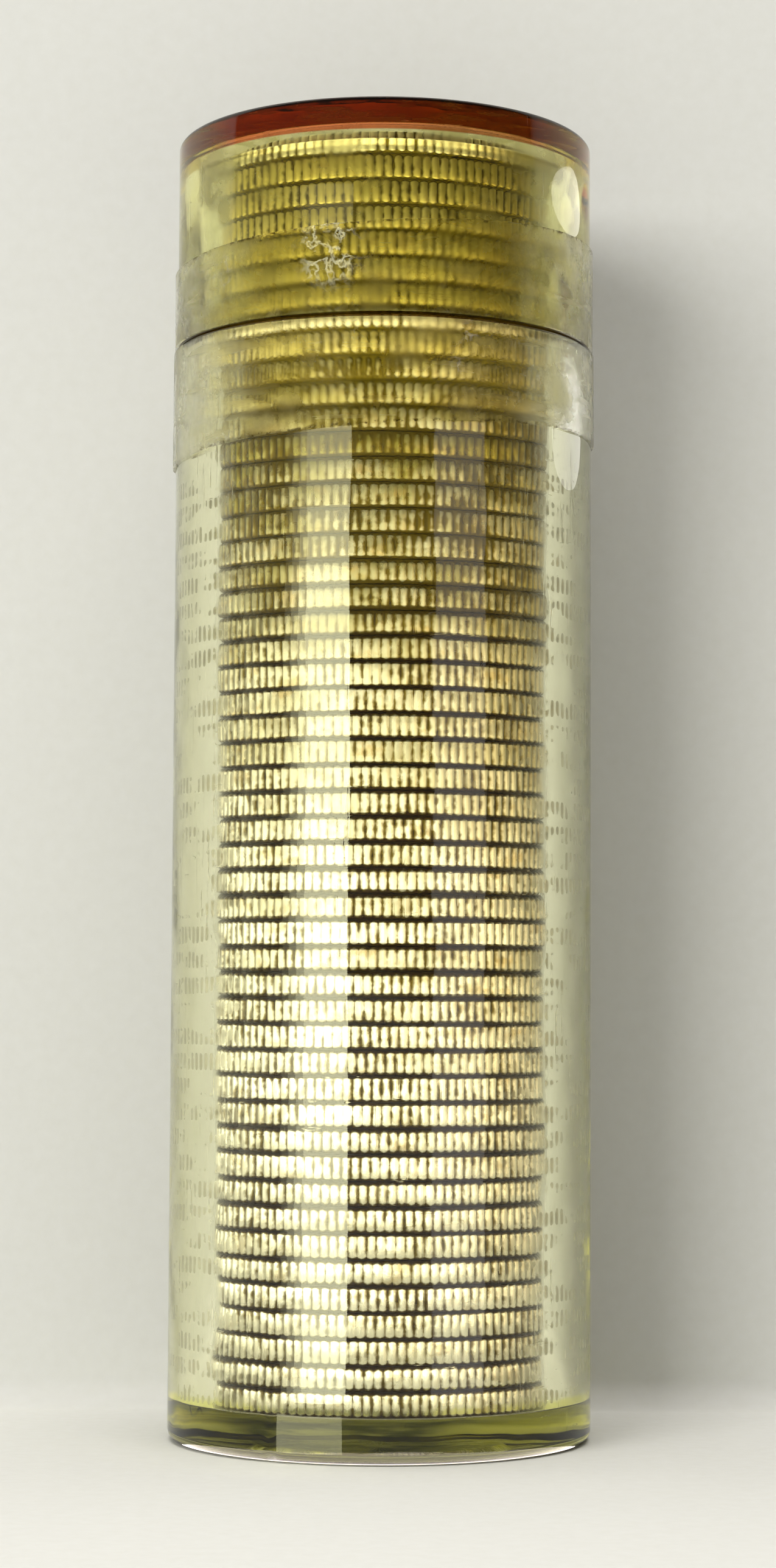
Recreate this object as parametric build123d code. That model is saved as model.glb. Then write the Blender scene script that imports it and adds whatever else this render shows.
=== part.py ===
from build123d import *
from math import cos, radians, sin
import os

# A clear coin tube with a slip-on cap, standing on its base and full of coins.
# Millimetres. The origin is the middle of the base, and +Z runs up the axis to the cap.

# Coins
coin_diameter = 17.91
coin_thickness = 1.35
coin_count = 50

# Tube body
coin_clearance = 0.145  # radial room for a coin in the bore
tube_wall = 2.4
tube_floor = 2.2
base_edge = 0.5
gate_recess_radius = 5.0
gate_recess_depth = 0.3

# Neck, which the cap slips over
neck_wall = 1.15
neck_height = 9.6
stack_reveal = 0.7  # how far the top coin stands above the neck's rim
mouth_edge = 0.3
mouth_lead = 0.25

# Cap
cap_clearance = 0.06  # radial room between the neck and the skirt
cap_setback = 0.05  # the cap is this much smaller in radius than the tube
headroom = 0.15  # room above the top coin
cap_roof = 1.15
cap_top_edge = 0.3
ceiling_edge = 0.5
skirt_lead = 0.25
seam_edge = 0.12  # eased edge on both sides of the seam

# Tape wound over the seam and slit along it
tape_width = 10.7
tape_thickness = 0.12
tape_bond = 0.02  # adhesive under the film
tape_tilt = 3.5  # degrees, higher towards +X
tape_drop = 0.4  # the wrap's middle lies this far below the seam
slit_width = 0.3
lap_start = 62.0  # degrees round the axis, where the wrap's end overlaps its start
lap_arc = 34.0

# Radii
coin_radius = coin_diameter / 2
bore_radius = coin_radius + coin_clearance
neck_radius = bore_radius + neck_wall
tube_radius = bore_radius + tube_wall
cap_radius = tube_radius - cap_setback
skirt_bore_radius = neck_radius + cap_clearance

# Heights
stack_top = tube_floor + coin_count * coin_thickness
mouth_height = stack_top - stack_reveal
shoulder_height = mouth_height - neck_height
ceiling_height = stack_top + headroom
cap_height = ceiling_height + cap_roof
tape_middle = shoulder_height - tape_drop


def turned(outline, eased):
    """Turns a half outline of (radius, height) points about Z.

    eased pairs a corner of the outline with the width that is taken off it.
    """
    half = make_face(Polyline(*outline, close=True))
    for corner, width in eased:
        vertex = half.vertices().sort_by_distance((*corner, 0))[0]
        half = chamfer(vertex, width)
    return revolve(Plane.XZ * half, Axis.Z)


def tube_body():
    """A thick-floored tube with a shoulder, a reduced neck and a shallow moulding recess underneath."""
    foot = (tube_radius, 0)
    shoulder = (tube_radius, shoulder_height)
    rim = (neck_radius, mouth_height)
    mouth = (bore_radius, mouth_height)
    outline = [
        (0, gate_recess_depth),
        (gate_recess_radius - gate_recess_depth, gate_recess_depth),
        (gate_recess_radius, 0),
        foot,
        shoulder,
        (neck_radius, shoulder_height),
        rim,
        mouth,
        (bore_radius, tube_floor),
        (0, tube_floor),
    ]
    eased = [(foot, base_edge), (shoulder, seam_edge), (rim, mouth_edge), (mouth, mouth_lead)]
    return turned(outline, eased)


def cap():
    """A flat roof on a plain skirt, whose mouth is eased so that it starts on the neck."""
    edge = (cap_radius, cap_height)
    seam = (cap_radius, shoulder_height)
    skirt_mouth = (skirt_bore_radius, shoulder_height)
    ceiling = (skirt_bore_radius, ceiling_height)
    outline = [(0, ceiling_height), ceiling, skirt_mouth, seam, edge, (0, cap_height)]
    eased = [
        (edge, cap_top_edge),
        (seam, seam_edge),
        (skirt_mouth, skirt_lead),
        (ceiling, ceiling_edge),
    ]
    return turned(outline, eased)


def coin(index):
    """One coin of the stack, counted from 0 at the tube's floor."""
    disc = Cylinder(coin_radius, coin_thickness, align=(Align.CENTER, Align.CENTER, Align.MIN))
    return Pos(0, 0, tube_floor + index * coin_thickness) * disc


def film(radius, low, high, arc):
    """A stretch of tape round the axis, from the X direction through an arc in degrees."""
    section = Pos(radius + tape_thickness / 2, (low + high) / 2) * Rectangle(tape_thickness, high - low)
    return revolve(Plane.XZ * section, Axis.Z, arc)


def lapped_turn(radius, low, high):
    """A whole turn of tape on a round wall, with its end lapped over its start."""
    inner = radius + tape_bond
    lap = Rot(0, 0, lap_start) * film(inner + tape_thickness, low, high, lap_arc)
    return film(inner, low, high, 360) + lap


def tape_edge(height):
    """The tilted plane of one edge of the wrap, at a height on the axis."""
    tilt = radians(tape_tilt)
    return Plane((0, 0, height), z_dir=(-sin(tilt), 0, cos(tilt)))


# Film enough for either half of the wrap before its edge is trimmed
untrimmed = tape_width + tube_radius


def cap_tape():
    """The half of the wrap above the slit, on the cap's skirt."""
    low = shoulder_height + slit_width / 2
    turn = lapped_turn(cap_radius, low, low + untrimmed)
    return split(turn, bisect_by=tape_edge(tape_middle + tape_width / 2), keep=Keep.BOTTOM)


def tube_tape():
    """The half of the wrap below the slit, on the tube body."""
    high = shoulder_height - slit_width / 2
    turn = lapped_turn(tube_radius, high - untrimmed, high)
    return split(turn, bisect_by=tape_edge(tape_middle - tape_width / 2), keep=Keep.TOP)


pieces = {
    "tube_body": tube_body(),
    "cap": cap(),
    "cap_tape": cap_tape(),
    "tube_tape": tube_tape(),
}
for index in range(coin_count):
    pieces[f"coin_{index + 1:02d}"] = coin(index)

os.makedirs("parts", exist_ok=True)
for name, piece in pieces.items():
    piece.label = name
    export_step(piece, f"parts/{name}.step")
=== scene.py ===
"""Looks of the coin tube: a clear slip-capped tube, a slit wrap of aged tape and a stack of reeded coins."""

import logging
import random
from dataclasses import dataclass
from enum import Enum
from functools import cache, reduce
from math import atan2, cos, pi, radians, sin, sqrt, tan

import bmesh
import bpy
from bmesh.types import BMesh, BMVert
from bpy.types import Material, Mesh, Node, NodeTree, Object
from bpy.types import NodeSocket as Socket
from mathutils import Matrix, Vector, noise


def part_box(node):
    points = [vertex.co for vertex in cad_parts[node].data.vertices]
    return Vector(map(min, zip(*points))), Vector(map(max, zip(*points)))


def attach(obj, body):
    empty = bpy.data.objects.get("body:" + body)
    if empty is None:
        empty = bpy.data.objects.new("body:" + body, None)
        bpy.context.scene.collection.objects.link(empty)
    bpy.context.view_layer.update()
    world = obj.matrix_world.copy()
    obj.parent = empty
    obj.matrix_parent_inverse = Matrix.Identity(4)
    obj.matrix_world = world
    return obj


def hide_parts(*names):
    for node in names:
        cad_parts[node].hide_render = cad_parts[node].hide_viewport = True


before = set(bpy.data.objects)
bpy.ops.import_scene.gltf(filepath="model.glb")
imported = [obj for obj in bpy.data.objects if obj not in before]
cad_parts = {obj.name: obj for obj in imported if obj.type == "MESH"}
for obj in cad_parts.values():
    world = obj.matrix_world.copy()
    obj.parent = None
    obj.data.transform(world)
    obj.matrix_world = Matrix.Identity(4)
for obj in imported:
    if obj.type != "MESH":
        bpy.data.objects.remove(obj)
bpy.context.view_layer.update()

log = logging.getLogger("coin_tube")

MM = 0.001
FULL_TURN = 2 * pi
ROUND_STEPS = 256
SMOOTH_ANGLE = radians(32)
TAPE_DROP = 0.4
HALF_TAPE = 5.35
HALF_SLIT = 0.15
Span = tuple[float, float]
Colour = tuple[float, float, float]
WHITE: Colour = (1.0, 1.0, 1.0)
DAYLIGHT: Colour = (1.0, 0.985, 0.95)


class Body(Enum):
    """The rigid bodies that the pieces ride on."""

    TUBE = "tube"
    COINS = "coin_stack"
    CAP = "cap"


class Slot(Enum):
    """The record's material slots."""

    CLEAR = "clear_plastic"
    AMBER = "amber_plastic"
    TAPE = "aged_tape"
    COIN = "coin_metal"


class Wiring:
    """Adds nodes to one node tree and joins them; place is the vector that they read."""

    place: Socket

    def __init__(self, tree: NodeTree) -> None:
        """Starts on an emptied tree."""
        self.tree = tree
        tree.nodes.clear()

    def add(self, kind: str, inputs: dict | None = None, **settings: object) -> Node:
        """Adds one node.

        Args:
            kind: The node's type without its ShaderNode prefix, or a full name that starts with Node.
            inputs: What its inputs get, by their names or places.
            settings: Properties to set on the node.

        Returns:
            The new node.
        """
        node = self.tree.nodes.new(kind if kind.startswith("Node") else f"ShaderNode{kind}")
        for key, value in settings.items():
            setattr(node, key, value)
        for key, value in (inputs or {}).items():
            self.put(node.inputs[key], value)
        return node

    def put(self, socket: Socket, source: Socket | float | Colour) -> None:
        """Joins a socket to another, or sets it to a plain value.

        Args:
            socket: The input.
            source: What it gets.
        """
        if isinstance(source, Socket):
            self.tree.links.new(source, socket)
        elif isinstance(source, tuple) and socket.type == "RGBA":
            socket.default_value = (*source, 1.0)
        else:
            socket.default_value = source

    def sums(self, operation: str, *values: Socket | float, clamp: bool = False) -> Socket:
        """Works out one Math node from its inputs in order, held between 0 and 1 if it is to clamp."""
        return self.add("Math", dict(enumerate(values)), operation=operation, use_clamp=clamp).outputs[0]

    def product(self, first: Socket, *others: Socket | float) -> Socket:
        """Multiplies masks together."""
        return reduce(lambda one, other: self.sums("MULTIPLY", one, other), others, first)

    def ramp(self, value: Socket, low: float, high: float, start: float = 0.0, end: float = 1.0) -> Socket:
        """Maps a value smoothly, from start at low and below to end at high and above."""
        inputs = {"Value": value, "From Min": low, "From Max": high, "To Min": start, "To Max": end}
        return self.add("MapRange", inputs, interpolation_type="SMOOTHSTEP").outputs["Result"]

    def rise(self, length: Socket, low: float, high: float) -> Socket:
        """Goes from 0 to 1 between two lengths in millimetres."""
        return self.ramp(length, low * MM, high * MM)

    def fall(self, length: Socket, low: float, high: float) -> Socket:
        """Goes from 1 to 0 between two lengths in millimetres."""
        return self.ramp(length, low * MM, high * MM, 1.0, 0.0)

    def outside(self, length: Socket, low: float, high: float) -> Socket:
        """Is 1 where a length lies outside a range in millimetres, and 0 within it."""
        below = self.sums("LESS_THAN", length, low * MM)
        return self.sums("MAXIMUM", below, self.sums("GREATER_THAN", length, high * MM))

    def apart(self, value: Socket, middle: float) -> Socket:
        """How far a value lies from a middle one, either way."""
        return self.sums("ABSOLUTE", self.sums("SUBTRACT", value, middle))

    def counted(self, height: Socket, lowest: float, pitch: float) -> Socket:
        """How many coins lie below a height, for a lowest underside and a pitch in millimetres."""
        return self.sums("DIVIDE", self.sums("SUBTRACT", height, lowest * MM), pitch * MM)

    def mix(self, share: Socket, first: Socket | Colour, second: Socket | Colour,
            blend: str = "MIX") -> Socket:
        """Mixes two colours, the first of which shows at a share of 0 and the second at 1."""
        node = self.add("Mix", {0: share, 6: first, 7: second}, data_type="RGBA", blend_type=blend)
        return node.outputs[2]

    def noise(self, size: float, detail: float = 3.0, rough: float = 0.55,
              scale: Colour | None = None) -> Socket:
        """Fractal noise with features of a size in millimetres, on a place that may be scaled first."""
        layers = {"Scale": 1 / (size * MM), "Detail": detail, "Roughness": rough}
        return self.add("TexNoise", {"Vector": self.stretched(scale), **layers}).outputs["Fac"]

    def stretched(self, scale: Colour | None) -> Socket:
        """The place, scaled along each axis if there is a scale."""
        node = scale and self.add("Mapping", {"Vector": self.place, "Scale": scale})
        return node.outputs["Vector"] if node else self.place

    def split(self, vector: Socket | None = None) -> list[Socket]:
        """Splits a vector, or else the place, into its x, y and z."""
        return list(self.add("SeparateXYZ", {0: vector or self.place}).outputs)

    def from_axis(self) -> Socket:
        """How far the place is from the tube's axis."""
        level = self.stretched((1.0, 1.0, 0.0))
        return self.add("VectorMath", {0: level}, operation="LENGTH").outputs["Value"]

    def bump(self, height: Socket, depth: float, strength: float) -> Socket:
        """Turns a height from 0 to 1 into a normal, for a depth in millimetres and a strength."""
        inputs = {"Strength": strength, "Distance": depth * MM, "Height": height}
        return self.add("Bump", inputs).outputs["Normal"]


class Surface(Wiring):
    """The wiring of one material, whose Principled shader is joined to its output."""

    def __init__(self, name: str) -> None:
        """Starts a material that reads Object coordinates.

        Args:
            name: The material's name.
        """
        self.material = bpy.data.materials.new(name)
        self.material.use_nodes = True
        super().__init__(self.material.node_tree)
        self.place = self.add("TexCoord").outputs["Object"]
        self.shader = self.add("BsdfPrincipled")
        self.end = self.add("OutputMaterial", {"Surface": self.shader.outputs["BSDF"]})

    def dress(self, values: dict[str, Socket | float]) -> Material:
        """Fills in the shader's own sockets.

        Args:
            values: What each named socket gets.

        Returns:
            The finished material.
        """
        for name, value in values.items():
            self.put(self.shader.inputs[name], value)
        return self.material


@cache
def handling_marks() -> NodeTree:
    """Makes the group that holds the wear of handled plastic, once.

    Returns:
        A node group with a Vector and a Rubbed Radius in, and Smudge, Scratch and Scuff masks out.
        Scuff is the patchy haze of walls that lie inside the Rubbed Radius.
    """
    tree = bpy.data.node_groups.new("handling_marks", "ShaderNodeTree")
    wires = Wiring(tree)
    tree.interface.new_socket("Vector", in_out="INPUT", socket_type="NodeSocketVector")
    tree.interface.new_socket("Rubbed Radius", in_out="INPUT", socket_type="NodeSocketFloat")
    for name in ("Smudge", "Scratch", "Scuff"):
        tree.interface.new_socket(name, in_out="OUTPUT", socket_type="NodeSocketFloat")
    wires.place, rubbed, *_ = wires.add("NodeGroupInput").outputs
    along = wires.noise(0.35, 2.0, scale=(1.0, 1.0, 0.06))
    across = wires.noise(0.5, 2.0, scale=(0.25, 0.25, 1.6))
    lines = wires.sums("ADD", wires.ramp(along, 0.66, 0.7), wires.ramp(across, 0.68, 0.72), clamp=True)
    patches = wires.ramp(wires.noise(9.0, 2.0), 0.45, 0.65)
    inside = wires.sums("LESS_THAN", wires.from_axis(), rubbed)
    wires.add("NodeGroupOutput", {
        "Smudge": wires.ramp(wires.noise(6.0, 4.0), 0.48, 0.72),
        "Scratch": wires.product(lines, patches),
        "Scuff": wires.product(inside, wires.ramp(wires.noise(2.6, 4.0), 0.4, 0.65)),
    })
    return tree


@dataclass(frozen=True)
class ClearPlastic:
    """Hard clear plastic that yellows, so that a long way through it looks deep in colour."""

    name: str
    absorbed_per_mm: Colour
    rubbed_radius: float
    scuffed: float
    seam: float
    radius: float
    ior: float = 1.42
    polish: float = 0.012
    smudged: float = 0.05
    pressed: float = 0.6
    scratch_depth: float = 0.005
    wave_depth: float = 0.08
    wave_length: float = 4.0
    skin: float = 0.4
    groove: Span = (0.12, 0.2)
    foot: float = 0.8
    roof: float = 70.5
    taped: Span = (53.65, 64.35)
    tape_slope: float = tan(radians(3.5))
    seam_dirt: Colour = (0.008, 0.003, 0.0005)
    inner_gloss: Colour = (0.12, 0.10, 0.03)

    def haze(self, wires: Wiring) -> Socket | float:
        """How dull the scuffs on the inner walls are."""
        return self.scuffed

    def contact(self, wires: Wiring) -> Socket | float:
        """How far something pressed on the wall has dulled it; plain plastic has none."""
        return 0.0

    def near_wall(self, wires: Wiring, depth: float) -> Socket:
        """Is 1 within a depth of the outer wall, and 0 further in."""
        return wires.sums("GREATER_THAN", wires.from_axis(), (self.radius - depth) * MM)

    def tint(self, wires: Wiring) -> Socket:
        """The colour that the surface itself gives to light: dirt in the seam's groove, else white."""
        groove = wires.fall(wires.apart(wires.split()[2], self.seam * MM), *self.groove)
        return wires.mix(wires.product(groove, self.near_wall(wires, self.skin)), WHITE, self.seam_dirt)

    def gloss(self, wires: Wiring) -> Socket:
        """Finds how the surface mirrors.

        Args:
            wires: The material's wiring.

        Returns:
            White on the outer faces, and dark on the walls inside and where the tape sticks.
        """
        outer = wires.rise(wires.from_axis(), self.radius - 0.5, self.radius - 0.3)
        x, _, height = wires.split()
        bare = wires.outside(wires.sums("MULTIPLY_ADD", x, -self.tape_slope, height), *self.taped)
        ends = wires.outside(height, self.foot, self.roof)
        shiny = wires.sums("MAXIMUM", wires.product(outer, bare), ends)
        return wires.mix(shiny, self.inner_gloss, WHITE)

    def material(self) -> Material:
        """Builds the material.

        Returns:
            Glass with smudged, finely scratched faces and a plain absorbing volume.
        """
        wires = Surface(self.name)
        read = {"Vector": wires.place, "Rubbed Radius": self.rubbed_radius * MM}
        smudge, scratch, scuff = wires.add("Group", read, node_tree=handling_marks()).outputs
        worn = wires.sums("MAXIMUM", smudge, scratch)
        outside = wires.ramp(worn, 0.0, 1.0, self.polish, self.smudged)
        dulled = wires.sums("MULTIPLY_ADD", scuff, self.haze(wires), outside)
        ticked = wires.sums("MULTIPLY", self.contact(wires), self.pressed)
        waves = wires.product(wires.noise(self.wave_length, 1.0), self.wave_depth / self.scratch_depth)
        uneven = wires.sums("SUBTRACT", waves, scratch)
        depth = max(self.absorbed_per_mm) * 1.02
        colour = tuple(1 - share / depth for share in self.absorbed_per_mm)
        volume = wires.add("VolumeAbsorption", {"Density": depth / MM, "Color": colour})
        wires.put(wires.end.inputs["Volume"], volume.outputs["Volume"])
        return wires.dress({
            "Transmission Weight": 1.0,
            "IOR": self.ior,
            "Base Color": self.tint(wires),
            "Specular Tint": self.gloss(wires),
            "Roughness": wires.sums("MAXIMUM", dulled, ticked),
            "Normal": wires.bump(uneven, self.scratch_depth, 1.0),
        })


@dataclass(frozen=True)
class TubePlastic(ClearPlastic):
    """The tube's greenish plastic, dulled inside where the coins' reeds press on the bore."""

    bore: float = 9.1
    lowest: float = 2.2
    pitch: float = 1.35
    reeds: int = 118
    neck_scuffed: float = 0.32
    ticks_end: Span = (51.0, 55.0)
    floor_starts: Span = (0.5, 0.8)
    floor_tint: Colour = (1.0, 1.0, 0.20)
    shade_middle: float = -2.2
    shade_reach: Span = (4.0, 8.5)
    floor_shade: Colour = (0.02, 0.024, 0.0005)
    rim_ends: Span = (0.11, 0.2)
    rim_depth: float = 0.6
    rim_shade: Colour = (0.01, 0.008, 0.004)

    def haze(self, wires: Wiring) -> Socket:
        """Much duller on the neck, where the cap rubs, than in the bore."""
        low, high = (self.seam - 0.5) * MM, (self.seam + 0.5) * MM
        return wires.ramp(wires.split()[2], low, high, self.scuffed, self.neck_scuffed)

    def tint(self, wires: Wiring) -> Socket:
        """Adds painted shade, in streaks, round the solid floor.

        Args:
            wires: The material's wiring.

        Returns:
            Green round the floor, with painted shade in streaks, deepest at the front and back.
        """
        x, _, z = wires.split()
        band = wires.product(wires.rise(z, *self.floor_starts),
                             wires.fall(z, self.lowest - 0.2, self.lowest + 0.1),
                             self.near_wall(wires, self.skin))
        streaks = wires.ramp(wires.noise(1.5, scale=(0.35, 0.35, 3.0)), 0.35, 0.62, 0.7, 1.0)
        # Painted shade, broken into streaks, darkest at the front and back of the floor.
        middle = wires.fall(wires.apart(x, self.shade_middle * MM), *self.shade_reach)
        green = wires.mix(band, super().tint(wires), self.floor_tint)
        floor_shaded = wires.mix(wires.product(band, streaks, middle), green, self.floor_shade)
        # Painted contact shadow on the ring that meets the floor.
        return wires.mix(self.standing_rim(wires), floor_shaded, self.rim_shade)

    def standing_rim(self, wires: Wiring) -> Socket:
        """The thin ring of the foot's rounding that meets the floor, which gets a painted contact shadow."""
        low = wires.fall(wires.split()[2], *self.rim_ends)
        return wires.product(low, self.near_wall(wires, self.rim_depth))

    def gloss(self, wires: Wiring) -> Socket:
        """Takes the gloss off the ring that meets the floor, under its painted contact shadow."""
        return wires.mix(self.standing_rim(wires), super().gloss(wires), self.rim_shade)

    def contact(self, wires: Wiring) -> Socket:
        """Finds the marks of the coins in the bore.

        Args:
            wires: The material's wiring.

        Returns:
            Rows of short ticks, one row to a coin, in broken patches below the tape.
        """
        x, y, z = wires.split()
        row = wires.sums("FRACT", wires.counted(z, self.lowest, self.pitch))
        gap = wires.ramp(wires.apart(row, 0.5), 0.2, 0.46, 1.0, 0.0)
        turn = wires.sums("MULTIPLY", wires.sums("ARCTAN2", y, x), float(self.reeds))
        ticks = wires.ramp(wires.sums("SINE", turn), -1.0, 1.0, 0.3, 1.0)
        patches = wires.ramp(wires.noise(4.0, scale=(1.0, 1.0, 2.2)), 0.4, 0.56)
        broken = wires.ramp(wires.noise(0.9, 2.0), 0.32, 0.52)
        below = wires.fall(z, *self.ticks_end)
        inside = wires.sums("LESS_THAN", wires.from_axis(), (self.bore + 0.05) * MM)
        return wires.product(gap, ticks, patches, broken, below, inside)


@dataclass(frozen=True)
class CapPlastic(ClearPlastic):
    """The cap's amber plastic, deepest in colour along the edge of its roof."""

    edge_from: float = 69.15
    top: float = 71.0
    edge_tint: Colour = (0.50, 0.048, 0.019)
    shaded: Span = (-2.0, 6.0)
    shaded_tint: Colour = (0.28, 0.05, 0.016)
    ends: Span = (8.0, 10.2)
    end_tint: Colour = (0.42, 0.30, 0.05)
    rim_shade: Colour = (0.004, 0.002, 0.001)

    def tint(self, wires: Wiring) -> Socket:
        """Reddens the edge of the roof.

        Args:
            wires: The material's wiring.

        Returns:
            A red edge with painted shade on the right and amber at its ends, under a painted dark outline on
            the upper rim.
        """
        x, _, height = wires.split()
        high = wires.rise(height, self.edge_from, self.edge_from + 0.1)
        outer = wires.rise(wires.from_axis(), self.radius - 0.4, self.radius - 0.1)
        # Painted dark outline along the rounded upper rim.
        rim = wires.product(wires.rise(height, self.top - 0.34, self.top - 0.22), outer)
        # Painted shade: the edge browner on the right.
        side = wires.mix(wires.rise(x, *self.shaded), self.edge_tint, self.shaded_tint)
        ends = wires.rise(wires.sums("ABSOLUTE", x), *self.ends)
        edge = wires.mix(rim, wires.mix(ends, side, self.end_tint), self.rim_shade)
        return wires.mix(wires.product(high, outer), super().tint(wires), edge)


@dataclass(frozen=True)
class CoinMetal:
    """Warm, lightly toned silver with dark dirt in the reeds and painted shade in the gaps where the coins
    meet.
    """

    name: str = "toned_silver"
    bright: Colour = (1.0, 0.97, 0.83)
    toned: Colour = (0.24, 0.203, 0.042)
    gilded: Colour = (0.69, 0.57, 0.17)
    stain: Colour = (0.44, 0.31, 0.11)
    film: Colour = (0.115, 0.082, 0.012)
    grime_and_gap_shade: Colour = (0.03, 0.014, 0.002)
    olive_film: Colour = (0.10, 0.07, 0.003)
    olive_grime_and_gap_shade: Colour = (0.32, 0.24, 0.02)
    right_shade: Colour = (0.28, 0.18, 0.01)
    polish: float = 0.22
    dull: float = 0.36
    darkening: Span = (8.0, 66.0)
    gilding: Span = (52.5, 61.0)
    belt_starts: Span = (41.0, 47.0)
    belt_ends: Span = (57.0, 61.0)
    right_shade_span: Span = (2.0, 8.5)
    lighter_rows: tuple[int, int] = (42, 49)

    def tone(self, wires: Wiring, height: Socket, number: Socket) -> Socket:
        """Finds how toned the metal is.

        Args:
            wires: The material's wiring.
            height: The height above the base.
            number: The coin's number from the floor.

        Returns:
            A mask that differs from coin to coin and grows towards the cap.
        """
        each = wires.add("TexWhiteNoise", {"W": number}, noise_dimensions="1D")
        patches = wires.ramp(wires.noise(3.0, 4.0), 0.35, 0.7, 0.0, 0.2)
        varied = wires.sums("MULTIPLY_ADD", each.outputs["Value"], 0.2, patches)
        # Darker towards the cap.
        towards_cap = wires.product(wires.rise(height, *self.darkening), 0.85)
        # Two rows kept lighter than the rest.
        rows = (wires.sums("COMPARE", number, float(row), 0.1) for row in self.lighter_rows)
        lightened = wires.ramp(wires.sums("ADD", *rows), 0.0, 1.0, 1.0, 0.55)
        return wires.product(wires.sums("ADD", varied, towards_cap, clamp=True), lightened)

    def shelter(self, wires: Wiring, capped: Socket, belt: Socket) -> Socket:
        """Finds where dirt stays, and where painted shade goes into the gaps between coins.

        Args:
            wires: The material's wiring.
            capped: The mask of the coins under the cap.
            belt: The mask of the dirtier coins below them.

        Returns:
            The mesh's own shelter, made uneven.
        """
        recess = wires.add("Attribute", attribute_name="recess").outputs["Fac"]
        uneven = wires.sums("ADD", recess, wires.ramp(wires.noise(0.5, 2.0), 0.3, 0.7, -0.15, 0.15))
        uneven = wires.sums("ADD", uneven, wires.ramp(wires.noise(2.4, 2.0), 0.3, 0.7, -0.12, 0.12))
        uneven = wires.sums("MULTIPLY_ADD", capped, -0.06, uneven)
        blotches = wires.ramp(wires.noise(2.4, 4.0, scale=(0.7, 0.7, 1.4)), 0.42, 0.6)
        return wires.sums("MULTIPLY_ADD", wires.product(belt, blotches), 0.28, uneven)

    def material(self, lowest: float, pitch: float) -> Material:
        """Builds the material.

        Args:
            lowest: The height of the lowest coin's underside, in millimetres.
            pitch: The height of one coin, in millimetres.

        Returns:
            Metal that changes in tone from coin to coin, darkens towards the cap, and has painted shade on
            the right and in the gaps between coins.
        """
        wires = Surface(self.name)
        x, _, height = wires.split()
        tone = self.tone(wires, height, wires.sums("FLOOR", wires.counted(height, lowest, pitch)))
        capped = wires.rise(height, *self.gilding)
        metal = wires.mix(tone, self.bright, wires.mix(capped, self.toned, self.gilded))
        spots = wires.noise(1.7, 4.0, scale=(1.0, 1.0, 1.6))
        metal = wires.mix(wires.ramp(spots, 0.54, 0.72, 0.0, 0.55), metal, self.stain)
        # Painted shade: the coins darker and browner on the right, more so under the cap.
        right = wires.product(wires.rise(x, *self.right_shade_span), wires.ramp(capped, 0.0, 1.0, 0.36, 0.65))
        metal = wires.mix(right, metal, self.right_shade)
        belt = wires.product(wires.rise(height, *self.belt_starts), wires.fall(height, *self.belt_ends))
        uneven = self.shelter(wires, capped, belt)
        dirt = wires.ramp(uneven, 0.15, 0.6)
        # Caked dirt in the blotched valleys, and painted shade in the gaps between coins.
        caked_and_gap_shade = wires.ramp(uneven, 0.55, 0.85)
        olive = wires.sums("MULTIPLY_ADD", belt, 0.3, capped, clamp=True)
        soiled_and_gap_shade = wires.mix(caked_and_gap_shade, wires.mix(olive, self.film, self.olive_film),
                           wires.mix(olive, self.grime_and_gap_shade, self.olive_grime_and_gap_shade))
        worst = wires.sums("MAXIMUM", dirt, tone)
        return wires.dress({
            "Specular IOR Level": 0.1,
            "Metallic": wires.sums("SUBTRACT", 1.0, caked_and_gap_shade),
            "Base Color": wires.mix(dirt, metal, soiled_and_gap_shade),
            "Roughness": wires.ramp(worst, 0.0, 1.0, self.polish, self.dull),
            "Normal": wires.bump(wires.noise(0.25), 0.02, 0.3),
        })


def towards(bearing: float) -> Vector:
    """The level direction at a bearing, which is 0 in front and grows to the right."""
    return Vector((sin(bearing), -cos(bearing), 0.0))


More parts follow.
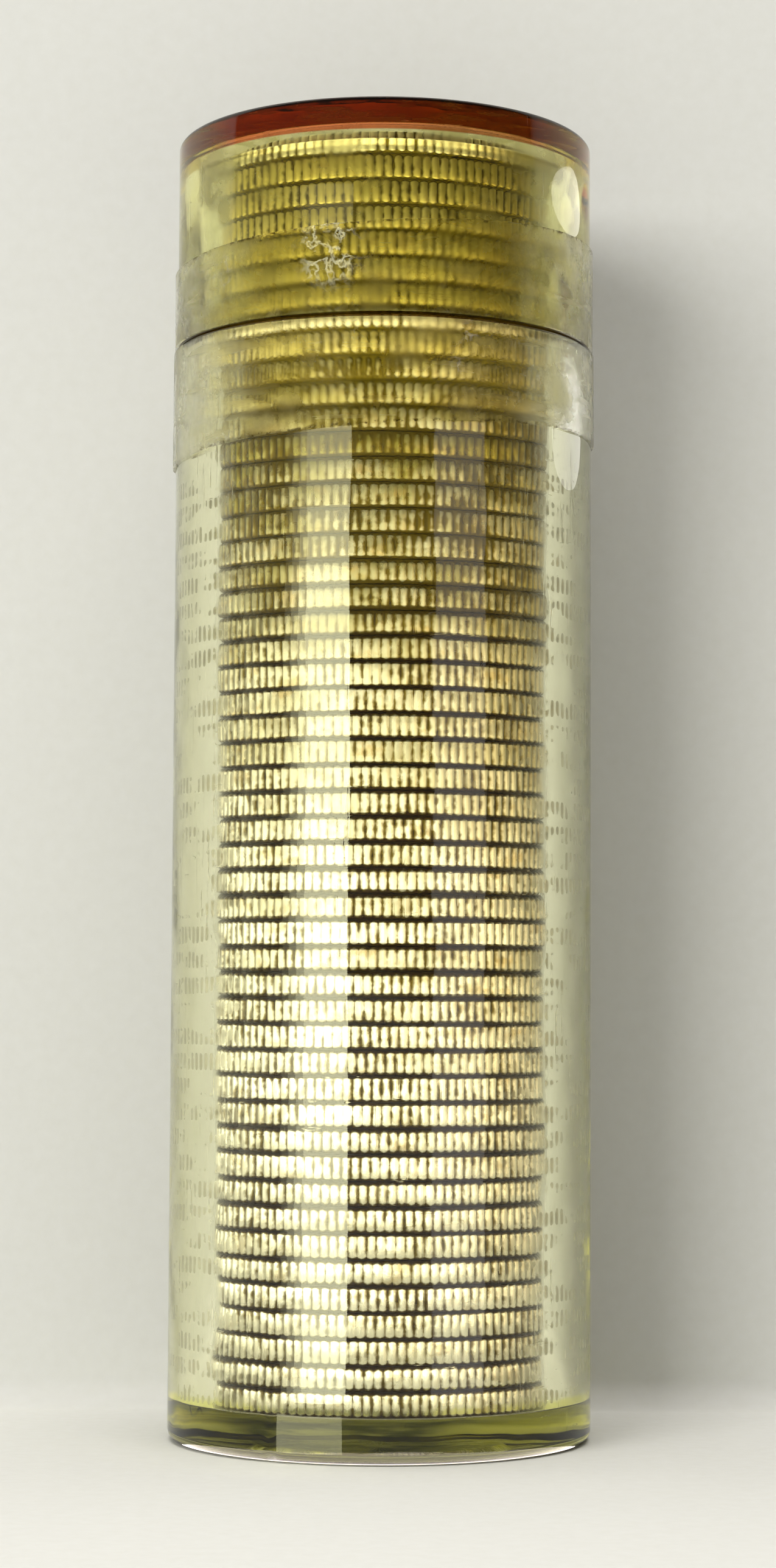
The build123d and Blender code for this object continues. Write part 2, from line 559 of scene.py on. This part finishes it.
@dataclass(frozen=True)
class AgedTape:
    """Clear film whose adhesive has yellowed and clouded in patches, with trapped air and dirty edges."""

    name: str = "aged_tape"
    film: Colour = (0.97, 0.95, 0.82)
    adhesive: Colour = (0.95, 0.91, 0.62)
    dirt: Colour = (0.16, 0.12, 0.06)
    thin: float = 0.35
    cloudy: float = 0.95
    polish: float = 0.12
    frosted: float = 0.56
    crumple_bearing: float = radians(-14)
    crumple_height: float = 62.9
    crumple_reach: float = 2.6
    wall: float = 11.5

    def crumple(self, wires: Wiring) -> Socket:
        """Finds the patch where the film has lifted and wrinkled.

        Args:
            wires: The material's wiring.

        Returns:
            A mask that fades towards the patch's border.
        """
        spot = towards(self.crumple_bearing) * self.wall + Vector((0, 0, self.crumple_height))
        away = wires.add("VectorMath", {0: wires.place, 1: spot * MM}, operation="DISTANCE")
        return wires.fall(away.outputs["Value"], 0.5 * self.crumple_reach, self.crumple_reach)

    def material(self) -> Material:
        """Builds the material.

        Returns:
            A see-through film that is frosted where its adhesive has let go.
        """
        wires = Surface(self.name)
        clouds = wires.ramp(wires.noise(3.4, 5.0, 0.6), 0.42, 0.7)
        streaks = wires.ramp(wires.noise(1.6, scale=(0.3, 0.3, 2.2)), 0.5, 0.68, 0.0, 0.6)
        veil = wires.sums("MAXIMUM", clouds, streaks)
        crease = wires.ramp(wires.apart(wires.noise(1.0), 0.5), 0.01, 0.05, 1.0, 0.0)
        loose = wires.ramp(wires.noise(3.0, 2.0), 0.6, 0.68, 0.0, 0.6)
        pockets = wires.product(crease, wires.sums("MAXIMUM", self.crumple(wires), loose))
        across = wires.add("Attribute", attribute_name="across").outputs["Fac"]
        specks = wires.ramp(wires.noise(0.35, 2.0), 0.52, 0.62)
        rim = wires.product(wires.ramp(across, 0.955, 0.99), specks)
        yellow = wires.ramp(wires.noise(1.2), 0.45, 0.7, 0.0, 0.7)
        body = wires.ramp(veil, 0.0, 1.0, self.thin, self.cloudy)
        marks = wires.sums("MAXIMUM", wires.product(rim, 0.8), pockets)
        frost = wires.sums("SUBTRACT", veil, pockets)
        height = wires.sums("ADD", wires.noise(0.9, 4.0), wires.product(pockets, 0.8))
        return wires.dress({
            "Transmission Weight": 1.0,
            "IOR": 1.15,
            "Coat IOR": 2.4,
            "Coat Roughness": 0.08,
            "Coat Weight": pockets,
            "Base Color": wires.mix(rim, wires.mix(yellow, self.film, self.adhesive), self.dirt),
            "Alpha": wires.sums("MAXIMUM", body, marks),
            "Roughness": wires.ramp(frost, 0.0, 1.0, self.polish, self.frosted),
            "Normal": wires.bump(height, 0.08, 0.5),
        })


@dataclass(frozen=True)
class PalePaper:
    """The off-white sweep that the tube stands on and in front of."""

    name: str = "pale_paper"
    shade: Colour = (0.785, 0.795, 0.77)
    fleck: Colour = (0.73, 0.735, 0.695)
    fold_shade: Colour = (0.90, 0.90, 0.90)

    def material(self) -> Material:
        """Builds the material.

        Returns:
            A matt sheet that is only there from its front, with painted shade in its fold.
        """
        wires = Surface(self.name)
        face = wires.add("NewGeometry")
        _, back, up = wires.split(face.outputs["Normal"])
        paper = wires.mix(wires.noise(0.8, 4.0), self.shade, self.fleck)
        # Painted shade, deepest in the middle of the fold.
        fold = wires.product(back, up, -2.0)
        shown = wires.shader.outputs["BSDF"]
        clear = wires.add("BsdfTransparent").outputs["BSDF"]
        sides = wires.add("MixShader", {0: face.outputs["Backfacing"], 1: shown, 2: clear})
        wires.put(wires.end.inputs["Surface"], sides.outputs["Shader"])
        return wires.dress({
            "Roughness": 0.9,
            "Specular IOR Level": 0.1,
            "Base Color": wires.mix(fold, paper, self.fold_shade, "MULTIPLY"),
        })


@dataclass(frozen=True)
class Corner:
    """One corner of a half outline, in millimetres from the axis and from the base."""

    radius: float
    height: float
    rounding: float = 0.0


def turned(mesh: BMesh, outline: list, steps: int) -> None:
    """Sweeps an outline once round the axis, in a number of steps."""
    bmesh.ops.spin(mesh, geom=outline, cent=(0, 0, 0), axis=(0, 0, 1), dvec=(0, 0, 0), angle=FULL_TURN,
                   steps=steps, use_merge=True, use_normal_flip=False, use_duplicate=False)


def spun(corners: list[Corner], steps: int, segments: int = 4) -> BMesh:
    """Rounds the corners of a half outline and turns it into a closed round solid.

    Args:
        corners: The outline's corners, of which the first and last lie on the axis.
        steps: How many faces go round the axis.
        segments: How many edges each rounding has.

    Returns:
        The solid, with its faces pointing outwards.
    """
    mesh = bmesh.new()
    points = [mesh.verts.new((c.radius * MM, 0.0, c.height * MM)) for c in corners]
    mesh.faces.new(points)
    for point, corner in zip(points, corners):
        if corner.rounding:
            bmesh.ops.bevel(mesh, geom=[point], offset=corner.rounding * MM, offset_type="OFFSET",
                            affect="VERTICES", segments=segments, profile=0.5, material=-1)
    bmesh.ops.delete(mesh, geom=mesh.faces[:], context="FACES_ONLY")
    on_axis = [e for e in mesh.edges if all(abs(v.co.x) < MM * MM for v in e.verts)]
    bmesh.ops.delete(mesh, geom=on_axis, context="EDGES")
    turned(mesh, mesh.verts[:] + mesh.edges[:], steps)
    bmesh.ops.remove_doubles(mesh, verts=mesh.verts[:], dist=0.0005 * MM)
    bmesh.ops.recalc_face_normals(mesh, faces=mesh.faces[:])
    return mesh


def finished(mesh: BMesh, name: str) -> Mesh:
    """Shades a bmesh smooth with crisp edges, and frees it.

    Args:
        mesh: The bmesh.
        name: The new mesh's name.

    Returns:
        The mesh data.
    """
    for face in mesh.faces:
        face.smooth = True
    for edge in mesh.edges:
        edge.smooth = edge.calc_face_angle(0.0) < SMOOTH_ANGLE
    data = bpy.data.meshes.new(name)
    mesh.to_mesh(data)
    mesh.free()
    return data


def linked(name: str, data: bpy.types.ID) -> Object:
    """Adds an object for a mesh, a light or a camera to the scene, at the origin."""
    bpy.context.scene.collection.objects.link(made := bpy.data.objects.new(name, data))
    return made


def placed(name: str, data: Mesh, material: Material, body: Body, node: str) -> None:
    """Puts a finished piece into the scene in place of its CAD node.

    Args:
        name: The piece's name.
        data: Its mesh, already in place.
        material: Its finish.
        body: The body that it moves with.
        node: The CAD node that it stands for.
    """
    data.materials.clear()
    data.materials.append(material)
    piece = linked(name, data)
    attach(piece, body.value)
    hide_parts(node)
    log.info("%s: %d faces on %s", name, len(data.polygons), body.value)


@dataclass
class TubeBody:
    """The clear tube: a thick floor, a straight bore, a shoulder and a reduced neck."""

    radius: float
    shoulder: float
    mouth: float
    bore: float = 9.1
    neck: float = 10.25
    floor: float = 2.2
    foot_rounding: float = 0.6
    seam_rounding: float = 0.12
    rim_rounding: float = 0.3
    mouth_rounding: float = 0.25
    fillet: float = 0.1
    recess_radius: float = 5.0
    recess_depth: float = 0.3
    chip_bearing: float = radians(-29)
    chip_width: float = 0.55
    chip_depth: float = 0.35

    def mesh(self) -> Mesh:
        """Builds the shape.

        Returns:
            The tube, with the small chip in its lower rim.
        """
        solid = spun([
            Corner(0, self.recess_depth),
            Corner(self.recess_radius - self.recess_depth, self.recess_depth, self.fillet),
            Corner(self.recess_radius, 0, self.fillet),
            Corner(self.radius, 0, self.foot_rounding),
            Corner(self.radius, self.shoulder, self.seam_rounding),
            Corner(self.neck, self.shoulder, self.fillet),
            Corner(self.neck, self.mouth, self.rim_rounding),
            Corner(self.bore, self.mouth, self.mouth_rounding),
            Corner(self.bore, self.floor, self.fillet),
            Corner(0, self.floor),
        ], ROUND_STEPS)
        self.chip(solid)
        return finished(solid, "tube_shell")

    def chip(self, solid: BMesh) -> None:
        """Nicks the lower rim where the photograph shows it.

        Args:
            solid: The tube.
        """
        spot = towards(self.chip_bearing) * self.radius * MM
        for point in solid.verts:
            away = (point.co - spot).length / (self.chip_width * MM)
            if away < 1 and point.co.xy.length > self.bore * MM:
                dent = (1 - away) ** 2 * self.chip_depth * MM
                point.co.z += dent
                point.co.xy *= 1 - 0.5 * dent / (self.radius * MM)

    def build(self) -> None:
        """Builds and dresses the tube body."""
        plastic = TubePlastic("greenish_clear_plastic", absorbed_per_mm=(0.017, 0.018, 0.074), scuffed=0.10,
                              seam=self.shoulder, radius=self.radius, rubbed_radius=self.neck + 0.05)
        placed("tube_shell", self.mesh(), plastic.material(), Body.TUBE, "tube_body")


@dataclass
class Cap:
    """The slip-on cap: a flat roof on a plain skirt, more yellowed than the tube."""

    radius: float
    seam: float
    top: float
    skirt_bore: float = 10.31
    roof: float = 1.15
    seam_gap: float = 0.04
    ceiling_rounding: float = 0.5
    mouth_rounding: float = 0.2
    seam_rounding: float = 0.12
    top_rounding: float = 0.3

    def mesh(self) -> Mesh:
        """Builds the shape.

        Returns:
            The cap, a hair above the shoulder.
        """
        ceiling = self.top - self.roof
        lip = self.seam + self.seam_gap
        solid = spun([
            Corner(0, ceiling),
            Corner(self.skirt_bore, ceiling, self.ceiling_rounding),
            Corner(self.skirt_bore, lip, self.mouth_rounding),
            Corner(self.radius, lip, self.seam_rounding),
            Corner(self.radius, self.top, self.top_rounding),
            Corner(0, self.top),
        ], ROUND_STEPS)
        return finished(solid, "cap_shell")

    def build(self) -> None:
        """Builds and dresses the cap."""
        plastic = CapPlastic("amber_clear_plastic", absorbed_per_mm=(0.009, 0.016, 0.27), scuffed=0.32,
                             seam=self.seam, radius=self.radius, rubbed_radius=self.skirt_bore + 0.05)
        placed("cap_shell", self.mesh(), plastic.material(), Body.CAP, "cap")


@dataclass
class TapeBand:
    """One half of the slit wrap of tape, with a slanted outer edge and a lapped end."""

    name: str
    node: str
    body: Body
    wall: float
    slit_edge: float
    outer_edge: float
    tilt: float = radians(3.5)
    thickness: float = 0.12
    bond: float = 0.02
    lap_start: float = radians(62)
    lap_arc: float = radians(34)
    rows: int = 40
    waver: float = 0.06
    ripple: float = 0.018

    def mesh(self) -> Mesh:
        """Winds a strip round the wall, slants its outer edge and gives it its thickness.

        Returns:
            The band.
        """
        band = bmesh.new()
        line = [band.verts.new((1.0, 0.0, row / self.rows)) for row in range(self.rows + 1)]
        turned(band, line + [band.edges.new(pair) for pair in zip(line, line[1:])], ROUND_STEPS)
        across = band.verts.layers.float.new("across")
        for point in band.verts:
            point[across] = point.co.z
            self.wind(point)
        bmesh.ops.recalc_face_normals(band, faces=band.faces[:])
        if sum(f.normal.dot(f.calc_center_median() * Vector((1, 1, 0))) for f in band.faces) < 0:
            bmesh.ops.reverse_faces(band, faces=band.faces[:])
        bmesh.ops.solidify(band, geom=band.faces[:], thickness=-self.thickness * MM)
        bmesh.ops.recalc_face_normals(band, faces=band.faces[:])
        return finished(band, self.name)

    def wind(self, point: BMVert) -> None:
        """Moves one point of the unit strip to its place on the wall.

        Args:
            point: The point.
        """
        bearing = atan2(point.co.y, point.co.x)
        across = point.co.z
        round_spot = Vector((cos(bearing), sin(bearing), across)) * 3
        outer = self.outer_edge + self.wall * cos(bearing) * tan(self.tilt)
        outer += self.waver * noise.noise(round_spot * 2) * across
        height = self.slit_edge + (outer - self.slit_edge) * across
        lapped = self.lap_start < bearing < self.lap_start + self.lap_arc
        lift = self.bond + (self.thickness if lapped else 0.0)
        lift += self.ripple * (1 + noise.noise(round_spot * 4)) * across
        reach = (self.wall + lift) * MM
        point.co = Vector((cos(bearing) * reach, sin(bearing) * reach, height * MM))

    def build(self, film: Material) -> None:
        """Builds and dresses the band."""
        placed(self.name, self.mesh(), film, self.body, self.node)


@dataclass
class CoinStack:
    """The stack of small reeded coins, each turned its own way."""

    radius: float
    pitch: float
    lowest: float
    count: int
    reeds: int = 118
    steps_per_reed: int = 4
    reed_depth: float = 0.13
    flank_share: float = 0.15
    flank_shift: float = 0.06
    rim_wear: tuple[float, ...] = (0.17, 0.21, 0.26)
    rim_width: float = 0.8
    rim_slope: float = 0.2
    field_depth: float = 0.12
    relief_height: float = 0.10
    relief_rings: int = 26
    beads: int = 59
    petals: int = 8
    seat_gap: float = 0.006
    play: float = 0.07
    seed: int = 7

    @property
    def field(self) -> float:
        """The radius of the sunken field inside the rim."""
        return self.radius - self.rim_width - self.rim_slope

    def master(self, rounding: float, shown: bool) -> Mesh:
        """Builds one coin on the base plane, with its reeds and raised rims.

        Args:
            rounding: How far its rims are worn round.
            shown: Whether its upper face is open to view, and so has its relief.

        Returns:
            The coin's mesh.
        """
        top = self.pitch - 2 * self.seat_gap
        inner = self.radius - self.rim_width
        rings = self.relief_rings if shown else 1
        corners = [
            Corner(0, self.field_depth),
            Corner(self.field, self.field_depth),
            Corner(inner, 0),
            Corner(self.radius, 0, rounding),
            Corner(self.radius, top, rounding),
            Corner(inner, top),
        ]
        shares = [1 - ring / rings for ring in range(rings + 1)]
        corners += [Corner(self.field * share, top - self.field_depth) for share in shares]
        coin = spun(corners, self.reeds * self.steps_per_reed, segments=3)
        recess = coin.verts.layers.float.new("recess")
        for point in coin.verts:
            bare = shown and point.co.z > self.pitch / 2 * MM
            on_edge = point.co.xy.length > (self.radius - rounding - 0.01) * MM
            point[recess] = self.reed(point, rounding, bare) if on_edge else self.strike(point, bare)
        return finished(coin, "reeded_coin")

    def reed(self, point: BMVert, rounding: float, open_side: bool) -> float:
        """Cuts a reed's valley at one point of the edge, and narrows the valley to a groove.

        Args:
            point: The point, which moves towards the axis and a little round it.
            rounding: How far the coin's rims are worn round.
            open_side: Whether no other coin lies against this side.

        Returns:
            How sheltered the point is, from 0 on a crest to 1 in the gap between two coins.
        """
        out = point.co.xy.length / MM
        edge = max(0.0, min(1.0, (out - self.radius + rounding) / rounding))
        bearing = atan2(point.co.y, point.co.x)
        step = round(bearing / FULL_TURN * self.reeds * self.steps_per_reed) % self.steps_per_reed
        depth = (1.0, self.flank_share, 0.0, self.flank_share)[step]
        shift = (0.0, -self.flank_shift, 0.0, self.flank_shift)[step] * edge / self.reeds * FULL_TURN
        reach = (out - depth * edge * self.reed_depth) * MM
        point.co.xy = Vector((cos(bearing + shift), sin(bearing + shift))) * reach
        # The gap where two coins meet is fully sheltered, and the metal paints shade there.
        gap = 0.0 if open_side else 1.0 - edge ** 4
        return min(1.0, gap + (0.58, 0.28, 0.0, 0.28)[step])

    def strike(self, point: BMVert, open_side: bool) -> float:
        """Raises the plain rosette, ring and beads at one point of a face that is open to view.

        Args:
            point: The point, which moves up.
            open_side: Whether no other coin lies against this side.

        Returns:
            How sheltered the point is.
        """
        out = point.co.xy.length / MM
        if not open_side or out > self.field - 0.01:
            return 0.1
        bearing = atan2(point.co.y, point.co.x)
        bead = max(0.0, cos(self.beads * bearing)) * (1 - ((out - 0.93 * self.field) / 0.4) ** 2)
        ring = 0.6 * (1 - ((out - 0.81 * self.field) / 0.35) ** 2)
        petal = self.field * (0.25 + 0.4 * abs(cos(self.petals / 2 * bearing)))
        rise = max(0.0, bead, ring, 1 - (out / petal) ** 2)
        point.co.z += rise * self.relief_height * MM
        return 0.5 * (1 - rise)

    def build(self) -> None:
        """Builds and dresses every coin, from the floor up."""
        draw = random.Random(self.seed)
        metal = CoinMetal().material(self.lowest, self.pitch)
        hidden = [self.master(rounding, shown=False) for rounding in self.rim_wear]
        topmost = self.master(self.rim_wear[0], shown=True)
        for index in range(self.count):
            master = topmost if index == self.count - 1 else draw.choice(hidden)
            turn = draw.uniform(0, FULL_TURN)
            bearing = draw.uniform(0, FULL_TURN)
            slip = self.play * sqrt(draw.random()) * MM
            height = (self.lowest + index * self.pitch + self.seat_gap) * MM
            place = Vector((cos(bearing) * slip, sin(bearing) * slip, height))
            data = master.copy()
            data.transform(Matrix.Translation(place) @ Matrix.Rotation(turn, 4, "Z"))
            node = f"coin_{index + 1:02d}"
            placed(f"reeded_{node}", data, metal, Body.COINS, node)
        for master in (*hidden, topmost):
            bpy.data.meshes.remove(master)


@dataclass
class Sweep:
    """A pale floor that curves up into a backdrop close behind the tube, and goes on behind the backdrop."""

    behind: float = 13.6
    cove: float = 1.9
    below: float = 0.03
    reach: float = 1600.0
    cove_steps: int = 10

    def build(self) -> None:
        """Builds the sheet as drawn lines pulled sideways; it casts no shadow."""
        sheet = bmesh.new()
        floor = -self.below
        drawn = (((-self.reach, floor), (self.behind, floor), (self.behind, self.reach)),
                 ((self.behind - self.cove, floor), (self.reach, floor)))
        line = []
        for stretch in drawn:
            points = [sheet.verts.new(Vector((-self.reach, y, z)) * MM) for y, z in stretch]
            line += [sheet.edges.new(pair) for pair in zip(points, points[1:])]
        pulled = bmesh.ops.extrude_edge_only(sheet, edges=line)["geom"]
        moved = [g for g in pulled if isinstance(g, BMVert)]
        bmesh.ops.translate(sheet, verts=moved, vec=(2 * self.reach * MM, 0, 0))
        fold = [e for e in sheet.edges if len(e.link_faces) == 2]
        bmesh.ops.bevel(sheet, geom=fold, offset=self.cove * MM, offset_type="OFFSET", affect="EDGES",
                        segments=self.cove_steps, profile=0.5, material=-1)
        sheet.normal_update()
        bmesh.ops.reverse_faces(sheet, faces=[f for f in sheet.faces if f.normal.z < f.normal.y])
        data = finished(sheet, "paper_sweep")
        data.materials.append(PalePaper().material())
        sweep = linked("paper_sweep", data)
        sweep.visible_shadow = False


class Lights(Enum):
    """What a studio light shows on."""

    PAPER = "matt surfaces"
    SHEEN = "reflections in the plastic"
    INSIDE = "what lies behind the plastic"


class Pane(Enum):
    """The outline of a studio light."""

    OBLONG = "RECTANGLE"
    OVAL = "ELLIPSE"


@dataclass(frozen=True)
class SoftBox:
    """A flat studio light that stands round the tube and faces its axis."""

    name: str
    lights: Lights
    bearing: float
    distance: float
    width: float
    low: float
    high: float
    radiance: float
    colour: Colour = DAYLIGHT
    pane: Pane = Pane.OBLONG

    def build(self) -> Object:
        """Builds the light, turned to the axis.

        Returns:
            The light's object.
        """
        lamp = bpy.data.lights.new(self.name, "AREA")
        lamp.shape = self.pane.value
        lamp.size = self.width * MM
        lamp.size_y = (self.high - self.low) * MM
        lamp.energy = self.radiance * pi * lamp.size * lamp.size_y
        lamp.color = self.colour
        box = linked(self.name, lamp)
        spot = towards(radians(self.bearing)) * self.distance
        box.rotation_euler = (-spot).to_track_quat("-Z", "Y").to_euler()
        spot.z = (self.low + self.high) / 2
        box.location = spot * MM
        box.visible_camera = False
        box.visible_diffuse = self.lights is Lights.PAPER
        box.visible_glossy = self.lights is Lights.SHEEN
        box.visible_transmission = self.lights is Lights.INSIDE
        return box

    def laid(self, *place: float, up: bool = False) -> Object:
        """Builds the light level.

        Args:
            place: Where it lies, in millimetres.
            up: Whether it faces up, and not down.

        Returns:
            The light's object.
        """
        box = self.build()
        box.location = Vector(place) * MM
        box.rotation_euler = (pi if up else 0.0, 0.0, 0.0)
        return box


@dataclass
class Studio:
    """Soft light from the front left, a weaker card on the right, and a room dim above and on the right."""

    room: float = 1.15
    ceiling: float = 0.45
    far_side: float = 0.35
    fill: float = 0.15
    sheen: float = 0.3
    pale: Colour = (1.0, 0.98, 0.62)
    clear: Colour = (1.0, 0.985, 0.92)
    warm: Colour = (1.0, 0.86, 0.66)
    window_zones: tuple[Colour, ...] = ((1.5, 47.6, 15.8), (47.6, 51.0, 11.5), (51.0, 61.3, 7.0),
                                        (61.3, 68.0, 1.8))
    layers: tuple[float, ...] = (0.1, 0.2, 0.3, 0.4)
    layer_turn: float = 1.5
    layer_trim: float = 0.88
    ring_distance: float = 78.0
    ring_step: float = 37.5
    ring_levels: tuple[float, ...] = (1.95, 1.95, 2.25, 2.15, 0.95)
    glow_reach: float = 2.2

    def ring(self) -> None:
        """Builds the low cards round the front that the coins mirror, brightest on the left."""
        width = 2 * self.ring_distance * tan(radians(self.ring_step / 2))
        for count, level in enumerate(self.ring_levels):
            bearing = (count - len(self.ring_levels) // 2) * self.ring_step
            SoftBox(f"card_{count + 1}", Lights.INSIDE, bearing, self.ring_distance, width, 0.5, 56, level,
                    self.warm if bearing > 0 else self.clear).build()

    def window(self) -> None:
        """Builds the tall bright pane on the left from layers, so that only its right edge is sharp."""
        for low, high, level in self.window_zones:
            for layer, share in enumerate(self.layers):
                SoftBox(f"window_{low:.0f}_{layer + 1}", Lights.SHEEN, low=low, high=high, distance=16.8,
                        bearing=-23.8 + self.layer_turn * layer, width=7.4 - self.layer_trim * layer,
                        radiance=level * share, colour=self.pale).build()
        SoftBox("window_foot", Lights.SHEEN, bearing=-20.3, distance=12.5, width=4.4, low=0.0, high=2.1,
                radiance=5.6, colour=self.pale).build()

    def foot(self) -> None:
        """Builds the short glow of the paper in the foot's rounded edge, and the light behind the foot."""
        glow = SoftBox("foot_glow", Lights.SHEEN, 0, 1, 21, 0, 21, radiance=3.4, colour=(1.0, 0.88, 0.82),
                       pane=Pane.OVAL).laid(0, -3.0, -0.015, up=True)
        glow.data.use_nodes = True
        wires = Wiring(glow.data.node_tree)
        far = wires.add("LightPath").outputs["Ray Length"]
        light = wires.add("Emission", {"Strength": wires.sums("LESS_THAN", far, self.glow_reach * MM)})
        wires.add("OutputLight", {"Surface": light.outputs["Emission"]})
        SoftBox("foot_fill", Lights.PAPER, 0, 1, 12, 0, 1.2, radiance=1.0).laid(0, 12.8, 4.0)

    def surroundings(self) -> None:
        """Builds the room, which shows in full only through the plastic."""
        world = bpy.data.worlds.new("room")
        bpy.context.scene.world = world
        world.use_nodes = True
        wires = Wiring(world.node_tree)
        x, _, z = wires.split(wires.add("TexCoord").outputs["Generated"])
        path = wires.add("LightPath")
        shown = wires.sums("MULTIPLY_ADD", path.outputs["Is Glossy Ray"], self.sheen - self.fill, self.fill)
        level = wires.product(wires.ramp(z, 0.06, 0.2, self.room, self.ceiling),
                              wires.ramp(x, -0.6, 0.8, 1.0, self.far_side),
                              wires.sums("MAXIMUM", shown, path.outputs["Is Transmission Ray"]))
        light = wires.add("Background", {"Color": DAYLIGHT, "Strength": level})
        wires.add("OutputWorld", {"Surface": light.outputs["Background"]})

    def build(self) -> None:
        """Builds the lights and the room."""
        self.window()
        right = {"bearing": 32.3, "distance": 22.6, "low": 0.3, "high": 62}
        SoftBox("right_card", Lights.SHEEN, width=9.0, radiance=1.6, **right).build()
        SoftBox("right_glow", Lights.SHEEN, width=4.5, radiance=1.8, **right).build()
        glint = {"bearing": 99.7, "distance": 24, "width": 13.0, "pane": Pane.OVAL}
        SoftBox("cap_glint", Lights.SHEEN, low=69.0, high=74.3, radiance=1.9, **glint).build()
        SoftBox("tape_glint", Lights.SHEEN, low=54.8, high=61.4, radiance=1.6, **glint).build()
        SoftBox("key", Lights.PAPER, -32, distance=700, width=390, low=60, high=450, radiance=6.9).build()
        SoftBox("overhead", Lights.PAPER, 0, 1, 500, 0, 500, 4.2, (1.0, 0.96, 0.93)).laid(0, -60, 600)
        self.ring()
        self.foot()
        self.surroundings()


@dataclass
class PhotoCamera:
    """The photograph's camera, square to the axis and a little below the tube's middle."""

    offset: float = 0.34
    distance: float = 178.53
    height: float = 23.19
    pitch: float = radians(3.978)
    roll: float = radians(0.27)
    focal_pixels: float = 5331.06
    frame_height: float = 2576.0
    film: float = 36.0

    def build(self) -> None:
        """Builds the camera and makes it the scene's own."""
        lens = bpy.data.cameras.new("photo_camera")
        lens.sensor_width = self.film
        lens.lens = self.focal_pixels * self.film / self.frame_height
        lens.clip_start = 0.01
        lens.clip_end = 20.0
        camera = linked("photo_camera", lens)
        aim = Matrix.Rotation(pi / 2 + self.pitch, 4, "X") @ Matrix.Rotation(self.roll, 4, "Z")
        place = Vector((self.offset, -self.distance, self.height)) * MM
        camera.matrix_world = Matrix.Translation(place) @ aim
        bpy.context.scene.camera = camera


def light_paths() -> None:
    """Lets light cross the nested walls, the film and the stack, and keeps plain colours."""
    scene = bpy.context.scene
    scene.cycles.max_bounces = 24
    scene.cycles.transmission_bounces = 20
    scene.cycles.glossy_bounces = 12
    scene.cycles.transparent_max_bounces = 24
    scene.cycles.use_denoising = True
    scene.view_settings.view_transform = "Standard"
    scene.view_settings.look = "None"


def main() -> None:
    """Builds the sub-assemblies in order, then the stage, the lights and the camera."""
    logging.basicConfig(level=logging.INFO, format="%(name)s %(message)s")
    tube_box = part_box("tube_body")
    cap_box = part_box("cap")
    coin_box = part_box("coin_01")
    radius = tube_box[1].x / MM
    cap_radius = cap_box[1].x / MM
    seam = cap_box[0].z / MM
    TubeBody(radius=radius, shoulder=seam, mouth=tube_box[1].z / MM).build()
    Cap(radius=cap_radius, seam=seam, top=cap_box[1].z / MM).build()
    film = AgedTape().material()
    middle = seam - TAPE_DROP
    TapeBand("tape_upper", "cap_tape", Body.CAP, cap_radius, seam + HALF_SLIT, middle + HALF_TAPE).build(film)
    TapeBand("tape_lower", "tube_tape", Body.TUBE, radius, seam - HALF_SLIT, middle - HALF_TAPE).build(film)
    coins = [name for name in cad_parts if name.startswith("coin_")]
    CoinStack(radius=coin_box[1].x / MM, pitch=(coin_box[1].z - coin_box[0].z) / MM,
              lowest=coin_box[0].z / MM, count=len(coins)).build()
    Sweep().build()
    Studio().build()
    PhotoCamera().build()
    light_paths()


if __name__ == "__main__":
    main()
